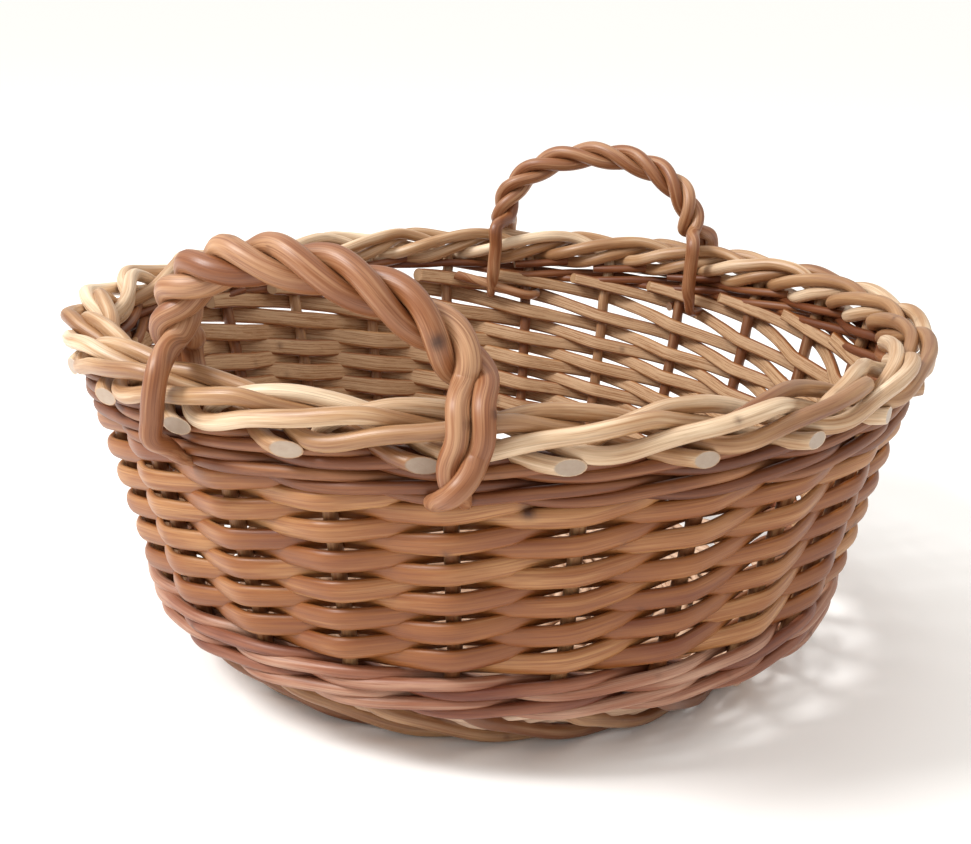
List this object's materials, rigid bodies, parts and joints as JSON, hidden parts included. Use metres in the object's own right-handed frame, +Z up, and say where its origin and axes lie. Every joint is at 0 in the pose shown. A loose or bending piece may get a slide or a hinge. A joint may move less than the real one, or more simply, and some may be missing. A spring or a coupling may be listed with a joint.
{
  "type": "round wicker basket",
  "caption": "Round woven willow basket with a plaited border, a foot of crossed stake ends and roped handles on opposite sides.",
  "frame": {"origin": "on the floor under the middle of the basket", "axes": "+Z up, -Y towards the viewer of the front, the front handle 20 degrees to the left of -Y"},
  "size_m": [0.3986, 0.4346, 0.222],
  "materials": {
    "border_willow": "pale peeled willow, smooth and slightly waxy",
    "weaver_willow": "tan split willow, smooth skin outside and rough flat face inside",
    "upsett_willow": "pinkish peeled willow, smooth",
    "wale_willow": "thin brown willow, smooth",
    "base_willow": "brown willow, matt",
    "handle_willow": "thick twisted willow, smooth with dark knots"
  },
  "bodies": {
    "root": {"stake_01": "border_willow", "stake_02": "border_willow", "stake_03": "border_willow", "stake_04": "border_willow", "stake_05": "border_willow", "stake_06": "border_willow", "stake_07": "border_willow", "stake_08": "border_willow", "stake_09": "border_willow", "stake_10": "border_willow", "stake_11": "border_willow", "stake_12": "border_willow", "stake_13": "border_willow", "stake_14": "border_willow", "stake_15": "border_willow", "stake_16": "border_willow", "stake_17": "border_willow", "stake_18": "border_willow", "stake_19": "border_willow", "stake_20": "border_willow", "stake_21": "border_willow", "stake_22": "border_willow", "stake_23": "border_willow", "stake_24": "border_willow", "upsett_wale_rod_1": "upsett_willow", "upsett_wale_rod_2": "upsett_willow", "upsett_wale_rod_3": "upsett_willow", "top_wale_rod": "wale_willow", "weaver_01": "weaver_willow", "weaver_02": "weaver_willow", "weaver_03": "weaver_willow", "weaver_04": "weaver_willow", "weaver_05": "weaver_willow", "weaver_06": "weaver_willow", "weaver_07": "weaver_willow", "weaver_08": "weaver_willow", "weaver_09": "weaver_willow", "weaver_10": "weaver_willow", "weaver_11": "weaver_willow", "weaver_12": "weaver_willow", "weaver_13": "weaver_willow", "weaver_14": "weaver_willow", "weaver_15": "weaver_willow", "weaver_16": "weaver_willow", "weaver_17": "weaver_willow", "weaver_18": "weaver_willow", "weaver_19": "weaver_willow", "weaver_20": "weaver_willow", "weaver_21": "weaver_willow", "weaver_22": "weaver_willow", "weaver_23": "weaver_willow", "weaver_24": "weaver_willow", "base_sticks": "base_willow", "base_weave": "base_willow", "front_handle_strand_1": "handle_willow", "front_handle_strand_2": "handle_willow", "front_handle_strand_3": "handle_willow", "back_handle_strand_1": "handle_willow", "back_handle_strand_2": "handle_willow", "back_handle_strand_3": "handle_willow"}
  },
  "joints": []
}
